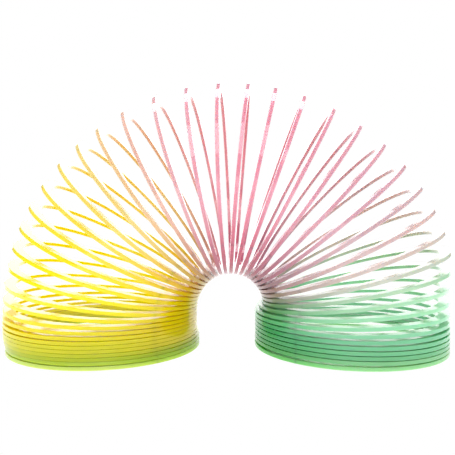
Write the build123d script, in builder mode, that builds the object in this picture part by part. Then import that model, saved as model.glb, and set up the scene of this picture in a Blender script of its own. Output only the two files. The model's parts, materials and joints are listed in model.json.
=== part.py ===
"""Spring coil toy: one flat plastic ribbon, wound left-handed and bent over into an arch.

The arch lies in the XZ plane and stands on two closed feet. Each turn of the coil is its own piece,
cut on the inside of the arch, where it joins the next turn and twists against it. Along the coil,
a place is given in turns: whole numbers are the cuts, a quarter turn later the ribbon is at the
front (-Y), half a turn later it is on the outside of the arch, and three quarters later at the back.
"""

import os
from math import ceil, cos, pi, radians, sin

from build123d import *

# The ribbon, in millimetres
coil_diameter = 75.0
ribbon_width = 3.8
ribbon_thickness = 1.22
turn_count = 45 + 7 / 16

# Spacing of the turns along the coil where they lie closest, on the inside of the arch
left_foot_pitch = 1.32
arch_pitch = 1.72
left_foot_blend = (12.5, 18.5)
right_foot_blend = (28.0, 34.0)

# How far each turn tilts against the last: (turn, degrees per turn), in straight lines between.
# The whole coil turns over by half a circle, so the values are scaled to add up to that.
tilt_by_turn = [
    (5.5, 0.0),
    (9.0, 1.0),
    (10.5, 2.6),
    (12.0, 4.5),
    (15.0, 5.4),
    (17.0, 6.6),
    (19.0, 6.0),
    (21.0, 8.8),
    (23.0, 8.0),
    (25.0, 6.5),
    (27.0, 8.0),
    (31.0, 6.8),
    (33.0, 5.8),
    (35.0, 4.0),
    (37.0, 3.3),
    (39.5, 0.7),
    (42.5, 0.0),
]

# Within a turn the tilt comes mostly just after the cut: how much more there, and how far past it
tilt_swing = 0.6
tilt_swing_turn = 0.11

# The feet have slipped a little sideways under the arch: (distance, first turn, last turn)
left_foot_slip = (1.0, 5.0, 1.0)
right_foot_slip = (-4.0, 34.0, 38.0)

# The two end turns lie flat on the surface for this much of a turn, then climb over themselves
flat_length = 0.75

# Steps of the walk along the coil, with a section of the ribbon at each
steps_per_turn = 32

outer_radius = coil_diameter / 2
ribbon_radius = outer_radius - ribbon_width / 2
step_count = round(turn_count * steps_per_turn)
step_length = 1 / steps_per_turn


def smooth(value, start, end):
    """Rise from 0 at start to 1 at end, level at both."""
    share = min(max((value - start) / (end - start), 0.0), 1.0)
    return share * share * (3 - 2 * share)


def tilt_rate(turn):
    """Tilt per turn at a place along the coil, before scaling."""
    swing = 1 + tilt_swing * cos(2 * pi * (turn - tilt_swing_turn))
    for (turn_a, rate_a), (turn_b, rate_b) in zip(tilt_by_turn, tilt_by_turn[1:]):
        if turn_a <= turn < turn_b:
            rate = rate_a + (rate_b - rate_a) * (turn - turn_a) / (turn_b - turn_a)
            return rate * swing
    return 0.0


def climb(turn):
    """Share of the pitch in force: the end turns lie flat, then climb a whole pitch at once."""
    from_end = min(turn, turn_count - turn)
    if from_end >= 1:
        return 1.0
    if from_end <= flat_length:
        return 0.0
    share = (from_end - flat_length) / (1 - flat_length)
    return 6 * share * (1 - share) / (1 - flat_length)


def pitch_shares(turn):
    """How much of the left foot's, the arch's and the right foot's pitch applies at a turn."""
    left = 1 - smooth(turn, *left_foot_blend)
    right = smooth(turn, *right_foot_blend)
    return [share * climb(turn) for share in (left, 1 - left - right, right)]


def slip(turn):
    """Sideways shift of the coil where the feet have slipped."""
    total = 0.0
    for distance, start, end in (left_foot_slip, right_foot_slip):
        total += distance * smooth(turn, start, end)
    return total


# Lean of the coil's axis at each step: straight up at the left foot, straight down at the right
step_middles = [(step + 0.5) * step_length for step in range(step_count)]
tilts = [tilt_rate(turn) for turn in step_middles]
tilt_scale = pi / sum(tilts)
leans = [pi / 2]
for tilt in tilts:
    leans.append(leans[-1] - tilt * tilt_scale)
middle_leans = [(a + b) / 2 for a, b in zip(leans, leans[1:])]

# The right foot's pitch is the one that brings both feet down to the same surface
rises = [0.0, 0.0, 0.0]
for turn, lean in zip(step_middles, middle_leans):
    for zone, share in enumerate(pitch_shares(turn)):
        rises[zone] += share * sin(lean) * step_length
right_foot_pitch = -(left_foot_pitch * rises[0] + arch_pitch * rises[1]) / rises[2]
pitches = (left_foot_pitch, arch_pitch, right_foot_pitch)

# The inside line of the arch, where the turns lie closest, as (x, z) from the left foot's start
inside_line = [(0.0, 0.0)]
for turn, lean in zip(step_middles, middle_leans):
    pitch = sum(p * share for p, share in zip(pitches, pitch_shares(turn)))
    x, z = inside_line[-1]
    inside_line.append((x + pitch * cos(lean) * step_length, z + pitch * sin(lean) * step_length))
inside_line = [(x + slip(step * step_length), z) for step, (x, z) in enumerate(inside_line)]


def outer_edge_x(step, side):
    """X of the ribbon's outer edge at a step, on its left (-1) or right (+1) face."""
    from_inside = outer_radius * (1 - cos(2 * pi * step * step_length))
    to_face = side * ribbon_thickness / 2 * cos(leans[step])
    return inside_line[step][0] - from_inside * sin(leans[step]) + to_face


# The ribbon's farthest reach to each side sets the arch's middle, and its lowest face is at height 0
left_most = min(outer_edge_x(step, -1) for step in range(step_count + 1))
right_most = max(outer_edge_x(step, +1) for step in range(step_count + 1))
middle_x = (left_most + right_most) / 2
base_z = ribbon_thickness / 2


def outward(step):
    """Direction in the XZ plane from the inside of the arch to its outside."""
    return Vector(-sin(leans[step]), 0, cos(leans[step]))


def inside_point(step):
    """Point of the inside line, in the part's own frame."""
    x, z = inside_line[step]
    return Vector(x - middle_x, 0, z + base_z)


def coil_axis(step):
    """Line along the middle of the coil at a step, towards its far end."""
    middle = inside_point(step) + outward(step) * outer_radius
    return Axis(middle, (cos(leans[step]), 0, sin(leans[step])))


def section_plane(step):
    """Plane of the ribbon's section: x across its width, away from the coil's axis, y through it."""
    angle = 2 * pi * step * step_length
    out = outward(step)
    front = Vector(0, -1, 0)
    radial = front * sin(angle) - out * cos(angle)
    along = front * cos(angle) + out * sin(angle)
    centre = inside_point(step) + out * outer_radius + radial * ribbon_radius
    return Plane(origin=centre, x_dir=radial, z_dir=along)


def flat_stretches(first_step, last_step):
    """The stretch of these steps that lies flat at an end of the coil, and the one that doesn't."""
    flat_steps = round(flat_length * steps_per_turn)
    if first_step < flat_steps:
        return (first_step, flat_steps), (flat_steps, last_step)
    flat_start = max(first_step, step_count - flat_steps)
    if flat_start < last_step:
        return (flat_start, last_step), (first_step, flat_start)
    return (last_step, last_step), (first_step, last_step)


os.makedirs("parts", exist_ok=True)

coil_turns = []
for turn in range(ceil(turn_count)):
    first_step = turn * steps_per_turn
    last_step = min(first_step + steps_per_turn, step_count)
    (flat_start, flat_end), (free_start, free_end) = flat_stretches(first_step, last_step)
    with BuildPart() as coil_turn:
        if flat_end > flat_start:
            with BuildSketch(section_plane(flat_start)):
                Rectangle(ribbon_width, ribbon_thickness)
            revolve(axis=coil_axis(flat_start), revolution_arc=-360 * (flat_end - flat_start) * step_length)
        if free_end > free_start:
            for step in range(free_start, free_end + 1):
                with BuildSketch(section_plane(step)):
                    Rectangle(ribbon_width, ribbon_thickness)
            loft()
    coil_turn.part.label = f"turn_{turn + 1:02d}"
    export_step(coil_turn.part, f"parts/{coil_turn.part.label}.step")
    coil_turns.append(coil_turn.part)

whole = Compound(children=coil_turns).bounding_box()
print(f"turns {len(coil_turns)}, right foot pitch {right_foot_pitch:.3f} mm")
print(f"size {whole.size.X:.1f} x {whole.size.Y:.1f} x {whole.size.Z:.1f} mm")
print(f"x {whole.min.X:.2f} to {whole.max.X:.2f}, z {whole.min.Z:.3f} to {whole.max.Z:.2f}")
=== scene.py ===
"""Spring coil toy: looks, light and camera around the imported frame.

The coil is one ribbon of dyed, glossy plastic. It is built here in short lengths that follow the
same line as the CAD turns: one length over the outside of each turn, which rides on that turn, and
one through the inside of the arch, which twists between the two turns that meet there.
"""

import json
from math import cos, pi, radians, sin

import bpy
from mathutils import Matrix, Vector

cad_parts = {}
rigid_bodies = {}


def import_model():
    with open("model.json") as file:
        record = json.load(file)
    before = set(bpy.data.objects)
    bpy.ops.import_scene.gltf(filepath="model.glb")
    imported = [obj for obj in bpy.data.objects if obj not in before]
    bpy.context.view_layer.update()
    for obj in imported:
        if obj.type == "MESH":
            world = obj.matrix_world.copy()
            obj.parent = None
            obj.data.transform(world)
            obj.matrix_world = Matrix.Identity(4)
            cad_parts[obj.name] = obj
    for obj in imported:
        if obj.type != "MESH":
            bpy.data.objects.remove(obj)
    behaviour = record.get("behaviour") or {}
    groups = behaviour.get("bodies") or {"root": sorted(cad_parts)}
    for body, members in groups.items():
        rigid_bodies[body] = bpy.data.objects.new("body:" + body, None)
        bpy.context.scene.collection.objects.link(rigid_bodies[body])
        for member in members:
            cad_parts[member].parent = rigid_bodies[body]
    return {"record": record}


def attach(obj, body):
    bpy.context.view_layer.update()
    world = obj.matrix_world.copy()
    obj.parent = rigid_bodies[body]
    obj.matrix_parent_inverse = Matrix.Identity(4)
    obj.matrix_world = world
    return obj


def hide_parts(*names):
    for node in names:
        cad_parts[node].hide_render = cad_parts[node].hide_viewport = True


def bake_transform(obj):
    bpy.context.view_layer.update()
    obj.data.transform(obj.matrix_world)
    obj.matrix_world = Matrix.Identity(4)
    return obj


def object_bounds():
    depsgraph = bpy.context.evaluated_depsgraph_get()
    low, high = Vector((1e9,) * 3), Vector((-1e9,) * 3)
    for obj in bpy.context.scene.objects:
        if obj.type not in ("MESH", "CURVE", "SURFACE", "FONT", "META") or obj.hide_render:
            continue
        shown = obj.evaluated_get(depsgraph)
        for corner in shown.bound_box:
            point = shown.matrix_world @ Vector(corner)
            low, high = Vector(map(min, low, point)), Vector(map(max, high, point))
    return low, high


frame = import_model()
cad_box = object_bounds()

MM = 0.001

# ---------------------------------------------------------------- the coil's line, in millimetres
coil_diameter = 75.0
ribbon_width = 3.8
ribbon_thickness = 1.31
edge_round = 0.10
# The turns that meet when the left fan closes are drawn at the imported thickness. Places along the
# coil where it starts to thin, is thin, is still thin and is full again
packed_thickness = 1.22
packed_turns = (6.5, 7.5, 12.0, 13.0)
turn_count = 45 + 7 / 16

left_foot_pitch = 1.32
arch_pitch = 1.72
left_foot_blend = (12.5, 18.5)
right_foot_blend = (28.0, 34.0)

# How far each turn tilts against the last: (turn, share), scaled so that they add to half a circle
tilt_by_turn = [
    (5.5, 0.0),
    (9.0, 1.0),
    (10.5, 2.6),
    (12.0, 4.5),
    (15.0, 5.4),
    (17.0, 6.6),
    (19.0, 6.0),
    (21.0, 8.8),
    (23.0, 8.0),
    (25.0, 6.5),
    (27.0, 8.0),
    (31.0, 6.8),
    (33.0, 5.8),
    (35.0, 4.0),
    (37.0, 3.3),
    (39.5, 0.7),
    (42.5, 0.0),
]
tilt_swing = 0.6
tilt_swing_turn = 0.11
left_foot_slip = (1.0, 5.0, 1.0)
right_foot_slip = (-4.0, 34.0, 38.0)
flat_length = 0.75

# Fineness of the mesh: steps along each turn, and faces around each rounded edge
steps_per_turn = 96
round_steps = 3
# How far the line may lie from a packed hinge, in millimetres
hinge_tolerance = 0.15

outer_radius = coil_diameter / 2
ribbon_radius = outer_radius - ribbon_width / 2
step_count = round(turn_count * steps_per_turn)
step_length = 1 / steps_per_turn


def smooth(value, start, end):
    """Rise from 0 at start to 1 at end, level at both."""
    share = min(max((value - start) / (end - start), 0.0), 1.0)
    return share * share * (3 - 2 * share)


def tilt_rate(turn):
    """Tilt per turn at a place along the coil, before scaling."""
    swing = 1 + tilt_swing * cos(2 * pi * (turn - tilt_swing_turn))
    for (turn_a, rate_a), (turn_b, rate_b) in zip(tilt_by_turn, tilt_by_turn[1:]):
        if turn_a <= turn < turn_b:
            rate = rate_a + (rate_b - rate_a) * (turn - turn_a) / (turn_b - turn_a)
            return rate * swing
    return 0.0


def climb(turn):
    """Share of the pitch in force: the end turns lie flat, then climb a whole pitch quickly."""
    from_end = min(turn, turn_count - turn)
    if from_end >= 1:
        return 1.0
    if from_end <= flat_length:
        return 0.0
    share = (from_end - flat_length) / (1 - flat_length)
    return 6 * share * (1 - share) / (1 - flat_length)


def pitch_shares(turn):
    """How much of the left foot's, the arch's and the right foot's pitch applies at a turn."""
    left = 1 - smooth(turn, *left_foot_blend)
    right = smooth(turn, *right_foot_blend)
    return [share * climb(turn) for share in (left, 1 - left - right, right)]


def slip(turn):
    """Sideways shift of the coil where the feet have slipped."""
    total = 0.0
    for distance, start, end in (left_foot_slip, right_foot_slip):
        total += distance * smooth(turn, start, end)
    return total


def walk_along_coil():
    """Lean of the coil's axis and point of the arch's inside line, at every step."""
    middles = [(step + 0.5) * step_length for step in range(step_count)]
    tilts = [tilt_rate(turn) for turn in middles]
    leans = [pi / 2]
    for tilt in tilts:
        leans.append(leans[-1] - tilt * pi / sum(tilts))
    middle_leans = [(a + b) / 2 for a, b in zip(leans, leans[1:])]
    rises = [0.0, 0.0, 0.0]
    for turn, lean in zip(middles, middle_leans):
        for zone, share in enumerate(pitch_shares(turn)):
            rises[zone] += share * sin(lean) * step_length
    right_foot_pitch = -(left_foot_pitch * rises[0] + arch_pitch * rises[1]) / rises[2]
    pitches = (left_foot_pitch, arch_pitch, right_foot_pitch)
    line = [(0.0, 0.0)]
    for turn, lean in zip(middles, middle_leans):
        pitch = sum(p * share for p, share in zip(pitches, pitch_shares(turn)))
        x, z = line[-1]
        line.append((x + pitch * cos(lean) * step_length, z + pitch * sin(lean) * step_length))
    return leans, [(x + slip(step * step_length), z) for step, (x, z) in enumerate(line)]


leans, inside_line = walk_along_coil()

joints = frame["record"]["behaviour"]["joints"]
hinges = {joint["parent"]: joint for joint in joints}
turn_names = sorted(frame["record"]["behaviour"]["bodies"])

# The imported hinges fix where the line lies: the first cut on the inside of the arch is the anchor
first_hinge = Vector(hinges[turn_names[0]]["pos_m"]) / MM


def inside_point(step):
    """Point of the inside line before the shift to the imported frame, in millimetres."""
    x, z = inside_line[step]
    return Vector((x, 0, z))


def outward(step):
    """Direction in the XZ plane from the inside of the arch to its outside."""
    return Vector((-sin(leans[step]), 0, cos(leans[step])))


def section(step):
    """Middle of the ribbon at a step, and the directions across its width and its thickness."""
    angle = 2 * pi * step * step_length
    out = outward(step)
    radial = Vector((0, -1, 0)) * sin(angle) - out * cos(angle)
    across = Vector((cos(leans[step]), 0, sin(leans[step])))
    middle = inside_point(step) + out * outer_radius + radial * ribbon_radius
    return middle, radial, across


anchor = first_hinge - section(steps_per_turn)[0]
for number, name in enumerate(turn_names[:-1], start=1):
    here = section(number * steps_per_turn)[0] + anchor
    packed = Vector(hinges[name]["pos_m"]) / MM
    if (here - packed).length > hinge_tolerance:
        raise ValueError(f"the coil's line leaves the packed hinge after {name}: {here} {packed}")


# ---------------------------------------------------------------- the ribbon's mesh
def profile():
    """The ribbon's rounded section: (across its width, through its thickness, outward normal)."""
    half_width = ribbon_width / 2 - edge_round
    half_thickness = ribbon_thickness / 2 - edge_round
    points = []
    for quarter, (side_w, side_t) in enumerate(((1, 1), (-1, 1), (-1, -1), (1, -1))):
        for index in range(round_steps + 1):
            angle = (quarter + index / round_steps) * pi / 2
            normal = (cos(angle), sin(angle))
            at_width = side_w * half_width + edge_round * normal[0]
            at_thickness = side_t * half_thickness + edge_round * normal[1]
            points.append((at_width, at_thickness, normal))
    return points


ribbon_profile = profile()
profile_size = len(ribbon_profile)


def thickness_share(turn):
    """Thickness drawn at a turn, as a share of the ribbon's full thickness."""
    start, full, still_full, end = packed_turns
    packed = smooth(turn, start, full) * (1 - smooth(turn, still_full, end))
    return 1 - packed * (1 - packed_thickness / ribbon_thickness)


def ribbon_length(name, first, last):
    """A closed length of the ribbon between two steps, as a Blender object."""
    verts = []
    normals = []
    turns = []
    for step in range(first, last + 1):
        middle, radial, across = section(step)
        share = thickness_share(step * step_length)
        for at_width, at_thickness, (normal_w, normal_t) in ribbon_profile:
            through = across * at_thickness * share
            verts.append((middle + anchor + radial * at_width + through) * MM)
            normals.append(radial * normal_w + across * normal_t)
            turns.append(step * step_length)
    faces = []
    ring_count = last - first + 1
    for ring in range(ring_count - 1):
        for index in range(profile_size):
            here = ring * profile_size + index
            beside = ring * profile_size + (index + 1) % profile_size
            faces.append((here, beside, beside + profile_size, here + profile_size))
    faces.append(tuple(reversed(range(profile_size))))
    faces.append(tuple(range(len(verts) - profile_size, len(verts))))
    mesh = bpy.data.meshes.new(name)
    mesh.from_pydata(verts, [], faces)
    mesh.polygons.foreach_set("use_smooth", [True] * len(faces))
    corner_normals = []
    for polygon in mesh.polygons:
        if polygon.index < len(faces) - 2:
            corner_normals += [normals[vertex] for vertex in polygon.vertices]
        else:
            corner_normals += [polygon.normal.copy()] * len(polygon.vertices)
    mesh.normals_split_custom_set(corner_normals)
    # Places in the dye's colours, shifted by painted shade at the back of each turn
    dye = mesh.attributes.new("dye", "FLOAT", "POINT")
    dye.data.foreach_set("value", [dye_and_back_shade_place(turn) for turn in turns])
    # Gamma of painted shade on the inside of the arch
    depth = mesh.attributes.new("inside_shade_gamma", "FLOAT", "POINT")
    depth.data.foreach_set("value", [inside_shade_gamma(turn) for turn in turns])
    mesh.materials.append(plastic)
    piece = bpy.data.objects.new(name, mesh)
    bpy.context.scene.collection.objects.link(piece)
    return piece


# ---------------------------------------------------------------- the dyed plastic
# Colours along the coil, in turns from the left foot's end: (turn, sRGB)
dye_colours = [
    (0.3, (204, 230, 112)),
    (1.3, (184, 212, 30)),
    (2.3, (192, 206, 0)),
    (3.3, (216, 216, 0)),
    (4.5, (250, 227, 0)),
    (8.0, (254, 224, 0)),
    (12.5, (246, 228, 4)),
    (14.5, (243, 220, 30)),
    (16.5, (237, 208, 76)),
    (18.5, (221, 199, 122)),
    (19.5, (216, 187, 140)),
    (20.5, (211, 177, 162)),
    (21.5, (209, 167, 174)),
    (22.5, (211, 157, 172)),
    (24.0, (213, 146, 164)),
    (25.5, (213, 144, 164)),
    (27.0, (207, 151, 168)),
    (28.5, (201, 155, 170)),
    (30.0, (198, 161, 174)),
    (31.0, (192, 169, 176)),
    (32.0, (202, 179, 180)),
    (33.0, (198, 187, 182)),
    (34.0, (186, 197, 184)),
    (35.0, (164, 205, 172)),
    (36.5, (158, 213, 176)),
    (37.5, (152, 219, 175)),
    (39.0, (140, 210, 168)),
    (40.5, (116, 199, 150)),
    (42.0, (120, 204, 148)),
    (43.5, (116, 194, 136)),
    (45.0, (150, 218, 152)),
]
# Painted shade: the pink spreads by this many turns at the front, around a middle turn, and less
# near the feet, so the back of each turn takes colours further from the pink, as it shows in shade
back_shade_drift = 0.5
back_shade_middle = 24.5
back_shade_ramp = 5
back_shade_rise = (6, 14)
back_shade_fall = (36, 42)
# Painted shade: on the inside of the arch, where the turns crowd, the colour is deepened by this
# much, from this far round the turn (a cosine)
inside_shade_strength = 0.8
inside_shade_from = 0.2


def dye_and_back_shade_place(turn):
    """Place in the dye's colours, with painted shade: the pink spreads a little wider at the front
    than at the back, so the back of each turn takes the colours it shows in shade.
    """
    side = max(-1.0, min(1.0, (turn - back_shade_middle) / back_shade_ramp))
    in_arch = smooth(turn, *back_shade_rise) * (1 - smooth(turn, *back_shade_fall))
    return turn - back_shade_drift * side * in_arch * sin(2 * pi * turn)


def inside_shade_gamma(turn):
    """Gamma of the dye's colour, for painted shade: above 1 on the inside of the arch, where the
    turns crowd.
    """
    return 1 + inside_shade_strength * smooth(cos(2 * pi * turn), inside_shade_from, 1.0)


def linear(channel):
    """One sRGB channel from 0 to 255 as linear light."""
    share = channel / 255
    return share / 12.92 if share <= 0.04045 else ((share + 0.055) / 1.055) ** 2.4


def math_node(nodes, links, operation, *inputs):
    """A math node with these inputs, each a number or another node's output."""
    node = nodes.new("ShaderNodeMath")
    node.operation = operation
    for socket, value in zip(node.inputs, inputs):
        if isinstance(value, (int, float)):
            socket.default_value = value
        else:
            links.new(value, socket)
    return node.outputs["Value"]


def fade_node(nodes, links, value, start, end, from_value, to_value):
    """A smooth step of a value between two places."""
    node = nodes.new("ShaderNodeMapRange")
    node.interpolation_type = "SMOOTHSTEP"
    node.inputs["From Min"].default_value = start
    node.inputs["From Max"].default_value = end
    node.inputs["To Min"].default_value = from_value
    node.inputs["To Max"].default_value = to_value
    links.new(value, node.inputs["Value"])
    return node.outputs["Result"]


def noise_node(nodes, links, where, scale):
    """Soft noise in the object's own space."""
    noise = nodes.new("ShaderNodeTexNoise")
    noise.inputs["Scale"].default_value = scale
    noise.inputs["Detail"].default_value = 2.0
    links.new(where.outputs["Object"], noise.inputs["Vector"])
    return noise.outputs["Fac"]


def range_node(nodes, links, value, to_min, to_max):
    """A value from 0 to 1 mapped to another range."""
    node = nodes.new("ShaderNodeMapRange")
    node.inputs["To Min"].default_value = to_min
    node.inputs["To Max"].default_value = to_max
    links.new(value, node.inputs["Value"])
    return node.outputs["Result"]


def attribute_node(nodes, name):
    """A mesh attribute of the ribbon."""
    node = nodes.new("ShaderNodeAttribute")
    node.attribute_name = name
    return node.outputs["Fac"]


def make_plastic():
    """Glossy, slightly milky plastic, dyed in a run of colours along the coil, with painted shade
    at the back of each turn and on the inside of the arch.
    """
    material = bpy.data.materials.new("dyed_plastic")
    material.use_nodes = True
    nodes = material.node_tree.nodes
    links = material.node_tree.links
    shader = nodes["Principled BSDF"]
    shader.inputs["IOR"].default_value = 1.49
    shader.inputs["Subsurface Weight"].default_value = 0.9
    shader.inputs["Subsurface Radius"].default_value = (1.0, 0.8, 0.6)
    shader.inputs["Subsurface Scale"].default_value = 0.003

    # The dye took unevenly, in soft patches about a centimetre long
    where = nodes.new("ShaderNodeTexCoord")
    uneven = noise_node(nodes, links, where, 90.0)
    shift = range_node(nodes, links, uneven, -0.3, 0.3)
    # The place carries painted shade: the back of each turn is shifted to colours further from the
    # pink
    place = math_node(nodes, links, "ADD", attribute_node(nodes, "dye"), shift)
    share = math_node(nodes, links, "DIVIDE", place, turn_count)
    ramp = nodes.new("ShaderNodeValToRGB")
    ramp.color_ramp.interpolation = "LINEAR"
    stops = ramp.color_ramp.elements
    while len(stops) < len(dye_colours):
        stops.new(0.5)
    for stop, (turn, colour) in zip(stops, dye_colours):
        stop.position = turn / turn_count
        stop.color = (*(linear(channel) for channel in colour), 1)
    links.new(share, ramp.inputs["Fac"])
    # Painted shade: the colour is deepened on the inside of the arch
    inside_shade = nodes.new("ShaderNodeGamma")
    links.new(ramp.outputs["Color"], inside_shade.inputs["Color"])
    links.new(attribute_node(nodes, "inside_shade_gamma"), inside_shade.inputs["Gamma"])
    links.new(inside_shade.outputs["Color"], shader.inputs["Base Color"])

    # Gloss that varies with handling, and the faint waviness of moulded plastic
    worn = noise_node(nodes, links, where, 150.0)
    links.new(range_node(nodes, links, worn, 0.05, 0.11), shader.inputs["Roughness"])
    bump = nodes.new("ShaderNodeBump")
    bump.inputs["Strength"].default_value = 0.004
    bump.inputs["Distance"].default_value = 0.0002
    links.new(worn, bump.inputs["Height"])
    links.new(bump.outputs["Normal"], shader.inputs["Normal"])
    return material


plastic = make_plastic()

# ---------------------------------------------------------------- the pieces
# Lengths meet this many steps from the inside of the arch, just past the reach of the twist
seam = 13

for number, name in enumerate(turn_names):
    start = number * steps_per_turn
    outside_end = min(start + steps_per_turn - seam, step_count)
    outside = ribbon_length(f"{name}_outside", start + seam, outside_end)
    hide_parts(name)
    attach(outside, name)
    if name not in hinges:
        continue
    cut = start + steps_per_turn
    inside = ribbon_length(f"{name}_inside", cut - seam, cut + seam)
    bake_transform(inside)

start_end = ribbon_length("ribbon_start", 0, seam)
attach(start_end, turn_names[0])

# ---------------------------------------------------------------- floor, light and camera
low, high = (Vector(corner) for corner in cad_box)
centre = (low + high) / 2

# The floor glows more further away: distances in metres, and radiance
floor_reach = 3.0
floor_glow_distances = (0.1, 0.5)
floor_glow = (0.9, 2.0)
floor_gap = 0.0002


def make_floor():
    """A plain white surface far wider than the view.

    It lights the coil from below. The camera sees the white background in its place, so a foot
    that a pose swings below the surface stays in sight.
    """
    mesh = bpy.data.meshes.new("floor")
    far = floor_reach
    corners = [(-far, -far, 0), (far, -far, 0), (far, far, 0), (-far, far, 0)]
    mesh.from_pydata(corners, [], [(0, 1, 2, 3)])
    floor = bpy.data.objects.new("floor", mesh)
    bpy.context.scene.collection.objects.link(floor)
    floor.location.z = low.z - floor_gap
    floor.visible_camera = False
    material = bpy.data.materials.new("floor_white")
    material.use_nodes = True
    shader = material.node_tree.nodes["Principled BSDF"]
    shader.inputs["Base Color"].default_value = (0.3, 0.3, 0.3, 1)
    shader.inputs["Roughness"].default_value = 0.9
    shader.inputs["Specular IOR Level"].default_value = 0.0
    shader.inputs["Emission Color"].default_value = (1, 1, 1, 1)
    nodes = material.node_tree.nodes
    links = material.node_tree.links
    where = nodes.new("ShaderNodeNewGeometry")
    away = nodes.new("ShaderNodeVectorMath")
    away.operation = "LENGTH"
    links.new(where.outputs["Position"], away.inputs[0])
    distance = away.outputs["Value"]
    glow = fade_node(nodes, links, distance, *floor_glow_distances, *floor_glow)
    links.new(glow, shader.inputs["Emission Strength"])
    mesh.materials.append(material)


def softbox(name, azimuth, elevation, distance, width, height, radiance, glint_only=False):
    """A rectangular light that faces the object. Azimuth 0 is in front (-Y), 180 is behind.

    One that is glint_only shows in the plastic's gloss and adds no other light.
    """
    light = bpy.data.lights.new(name, "AREA")
    light.shape = "RECTANGLE"
    light.size = width
    light.size_y = height
    light.energy = radiance * pi * width * height
    lamp = bpy.data.objects.new(name, light)
    bpy.context.scene.collection.objects.link(lamp)
    turn = radians(azimuth)
    rise = radians(elevation)
    direction = Vector((sin(turn) * cos(rise), -cos(turn) * cos(rise), sin(rise)))
    lamp.location = centre + direction * distance
    lamp.rotation_euler = direction.to_track_quat("Z", "Y").to_euler()
    lamp.visible_camera = False
    lamp.visible_diffuse = not glint_only


# The studio around the object: a bright paper backdrop behind it in a dimmer room, with soft fill
# from the front and the back that the gloss doesn't show. Radiances, and angles in degrees
room_radiance = 0.25
front_fill = 0.4
back_fill = 0.7
backdrop_radiance = 2.2
backdrop_half_width = 28
backdrop_top = 26
# Width of the backdrop's soft edge, in radians, and the depths between which the fill changes over
backdrop_edge = 0.08
fill_change = (-0.3, 0.2)


def make_world():
    """The room and its backdrop light the object; seen directly, the background is plain white."""
    world = bpy.data.worlds.new("studio")
    bpy.context.scene.world = world
    world.use_nodes = True
    nodes = world.node_tree.nodes
    links = world.node_tree.links
    direction = nodes.new("ShaderNodeSeparateXYZ")
    links.new(nodes.new("ShaderNodeTexCoord").outputs["Generated"], direction.inputs["Vector"])
    azimuth = math_node(nodes, links, "ARCTAN2", direction.outputs["X"], direction.outputs["Y"])
    aside = math_node(nodes, links, "ABSOLUTE", azimuth)
    above = math_node(nodes, links, "ARCSINE", direction.outputs["Z"])
    edge = radians(backdrop_half_width)
    top = radians(backdrop_top)
    across = fade_node(nodes, links, aside, edge, edge + backdrop_edge, 1, 0)
    upward = fade_node(nodes, links, above, top, top + backdrop_edge, 1, 0)
    share = math_node(nodes, links, "MULTIPLY", across, upward)
    excess = math_node(nodes, links, "MULTIPLY", share, backdrop_radiance - room_radiance)
    room = math_node(nodes, links, "ADD", excess, room_radiance)
    path = nodes.new("ShaderNodeLightPath")
    depth = direction.outputs["Y"]
    fill = fade_node(nodes, links, depth, *fill_change, front_fill, back_fill)
    matt = math_node(nodes, links, "SUBTRACT", 1.0, path.outputs["Is Glossy Ray"])
    soft = math_node(nodes, links, "MULTIPLY", fill, matt)
    lit = math_node(nodes, links, "ADD", room, soft)
    missing = math_node(nodes, links, "SUBTRACT", 1.0, lit)
    added = math_node(nodes, links, "MULTIPLY", path.outputs["Is Camera Ray"], missing)
    surround = nodes["Background"]
    surround.inputs["Color"].default_value = (1, 1, 1, 1)
    links.new(math_node(nodes, links, "ADD", lit, added), surround.inputs["Strength"])


# Image sizes in pixels, places in metres, angles in degrees
sensor_width = 36.0
image_width = 455
focal_pixels = 510
camera_side = 0.0020
camera_distance = 0.2043
camera_height = 0.0503
camera_yaw = -0.48
camera_pitch = 1.01


def make_camera():
    """The photographer's view: close in front, level with the middle of the arch."""
    data = bpy.data.cameras.new("camera")
    data.sensor_width = sensor_width
    data.lens = focal_pixels / image_width * sensor_width
    data.clip_start = 0.01
    camera = bpy.data.objects.new("camera", data)
    bpy.context.scene.collection.objects.link(camera)
    camera.location = (camera_side, -camera_distance, camera_height)
    camera.rotation_euler = (radians(90 - camera_pitch), 0, radians(-camera_yaw))
    bpy.context.scene.camera = camera


make_floor()
make_world()
# Distances and sizes in metres, angles in degrees
softbox("key", 0, 44, distance=0.80, width=0.44, height=0.54, radiance=1.7)
softbox("key_glint", 0, 44, distance=0.81, width=0.445, height=0.545, radiance=3.0, glint_only=True)
softbox("back", 180, 68, distance=0.80, width=0.90, height=0.28, radiance=6.0)
make_camera()

bpy.context.scene.view_settings.view_transform = "Standard"
